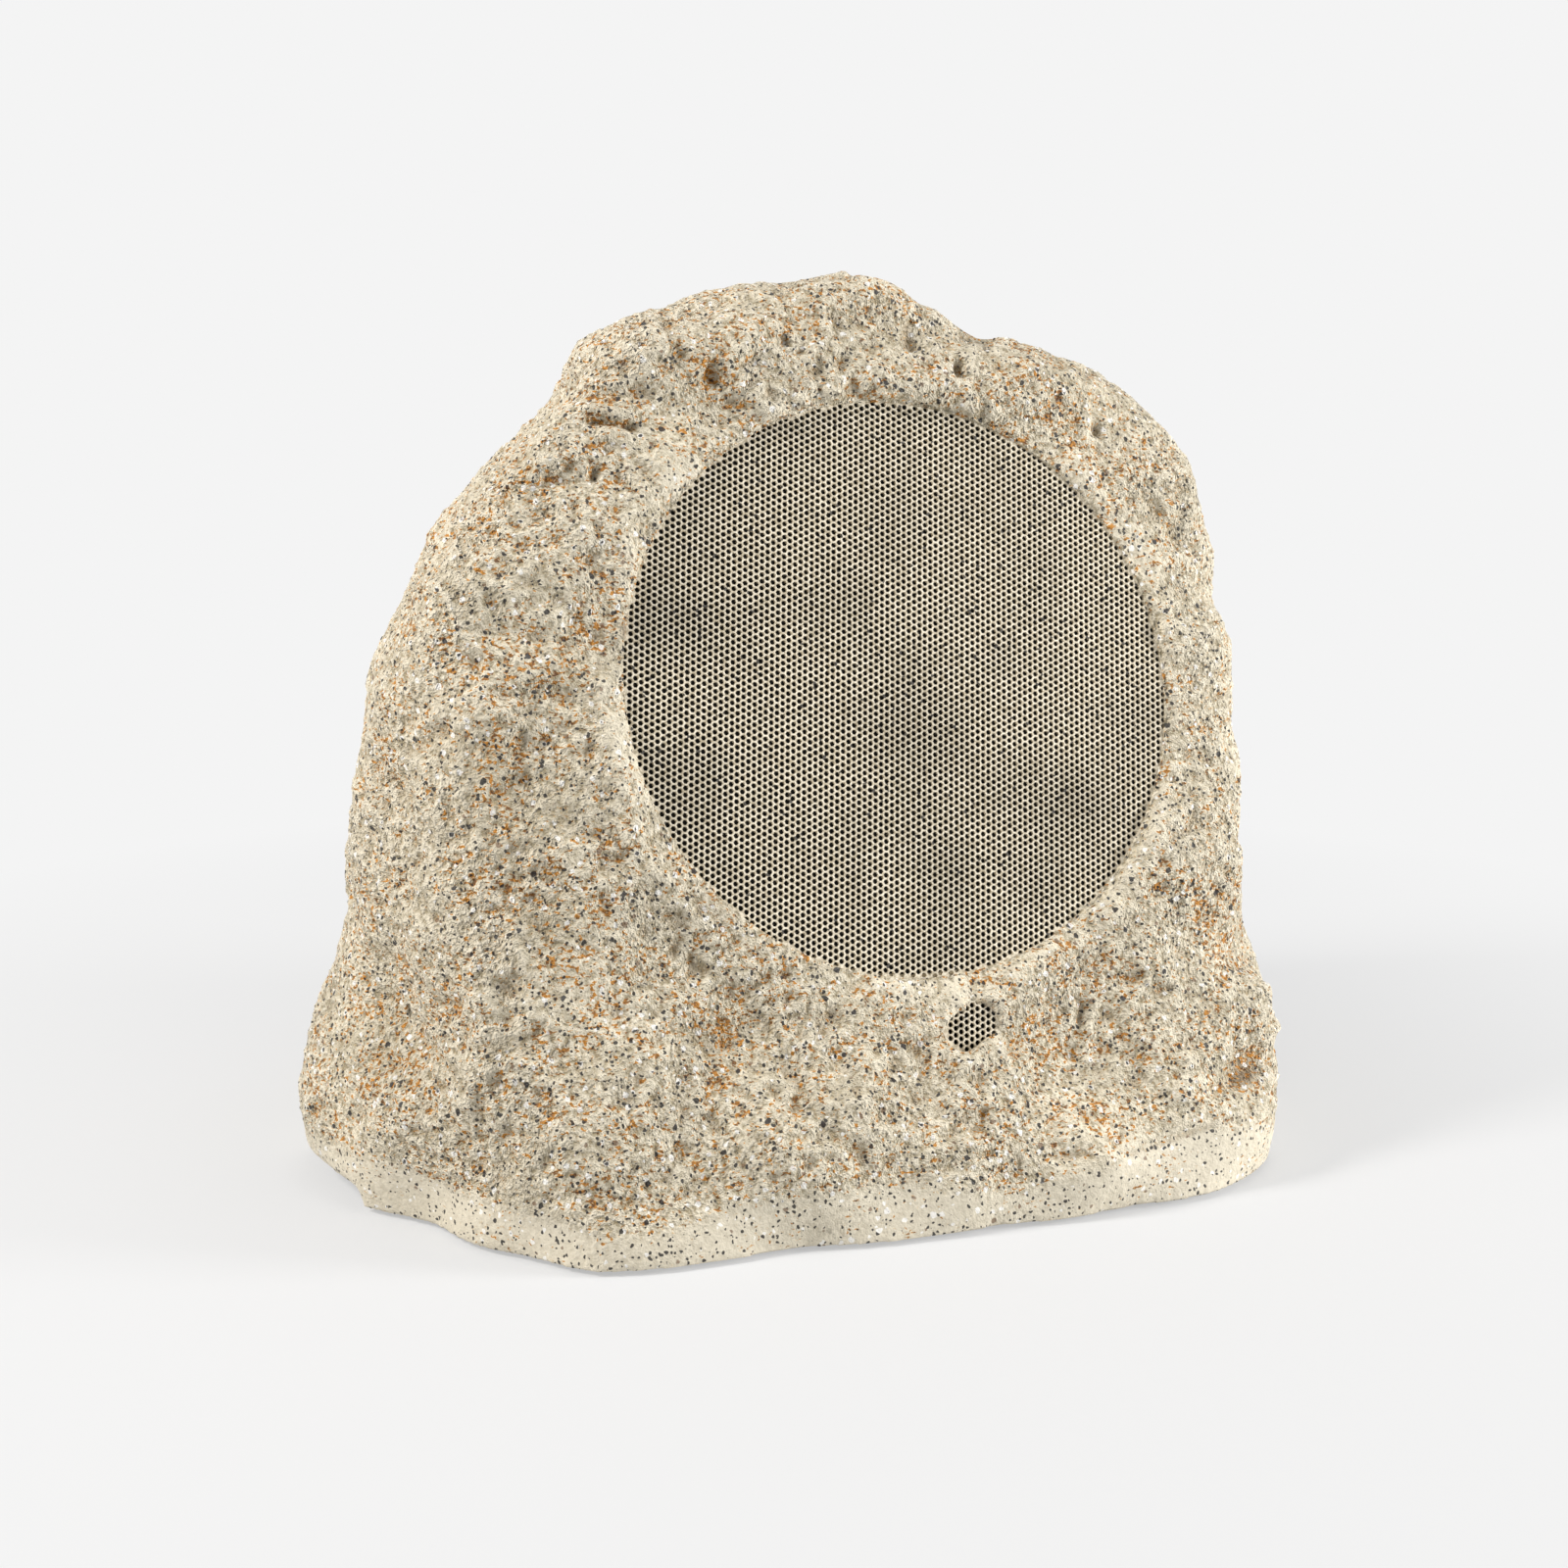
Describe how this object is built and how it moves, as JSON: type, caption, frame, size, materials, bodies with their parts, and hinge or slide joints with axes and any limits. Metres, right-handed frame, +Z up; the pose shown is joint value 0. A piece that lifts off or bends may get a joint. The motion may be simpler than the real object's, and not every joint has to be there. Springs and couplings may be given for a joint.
{
  "type": "rock shaped garden speaker",
  "caption": "Outdoor loudspeaker in a hollow moulded boulder, with a round perforated grille leaning back over a coaxial driver, a small vent window and a closed base.",
  "frame": {"origin": "on the ground, under the middle of the boulder's bounding box", "axes": "+Z up, -Y the way the grille faces, +X to the right of a person who looks at the grille"},
  "size_m": [0.3962, 0.3018, 0.335],
  "materials": {
    "rock_paint": "rough speckled paint",
    "grille_paint": "matt speckled paint",
    "black_cloth": "matt",
    "black_plastic": "matt",
    "base_plastic": "fine grain",
    "foam_rubber": "matt",
    "black_steel": "satin",
    "cone_plastic": "fine grain",
    "surround_rubber": "satin",
    "steel": "satin",
    "former_foil": "satin",
    "copper": "enamelled",
    "spider_cloth": "resin stiffened",
    "ferrite": "ground",
    "silk": "coated",
    "board": "lacquered",
    "capacitor_sleeve": "gloss",
    "cement": "matt",
    "terminal_plastic": "gloss",
    "brass": "satin"
  },
  "bodies": {
    "enclosure": {"rock_shell": "rock_paint", "grille": "grille_paint", "grille_cloth": "black_cloth", "vent_tube": "black_plastic", "vent_window": "grille_paint", "woofer_seal": "foam_rubber", "woofer_basket": "black_steel", "surround": "surround_rubber", "trim_ring": "black_plastic", "woofer_screws": "steel", "spider": "spider_cloth", "terminal_strip": "black_plastic", "front_plate": "steel", "magnet": "ferrite", "yoke": "steel", "tweeter_post": "black_plastic", "tweeter_cup": "black_plastic", "tweeter_motor": "steel", "tweeter_dome": "silk", "tweeter_plate": "black_plastic", "base_gasket": "foam_rubber", "base_plate": "base_plastic", "base_screws": "steel", "rubber_feet": "foam_rubber", "cable_grommet": "foam_rubber", "standoffs": "brass", "crossover_board": "board", "board_screws": "steel", "coils": "copper", "capacitors": "capacitor_sleeve", "resistors": "cement", "terminal_block": "terminal_plastic"},
    "cone_assembly": {"cone": "cone_plastic", "coil_former": "former_foil", "voice_coil": "copper"}
  },
  "joints": [
    {"name": "cone_travel", "type": "slide", "parent": "enclosure", "child": "cone_assembly", "axis": [0, -0.9426, 0.3338], "range_m": [-0.004, 0.004], "stiffness_N_per_m": 1250, "deforming": ["surround", "spider"]}
  ]
}
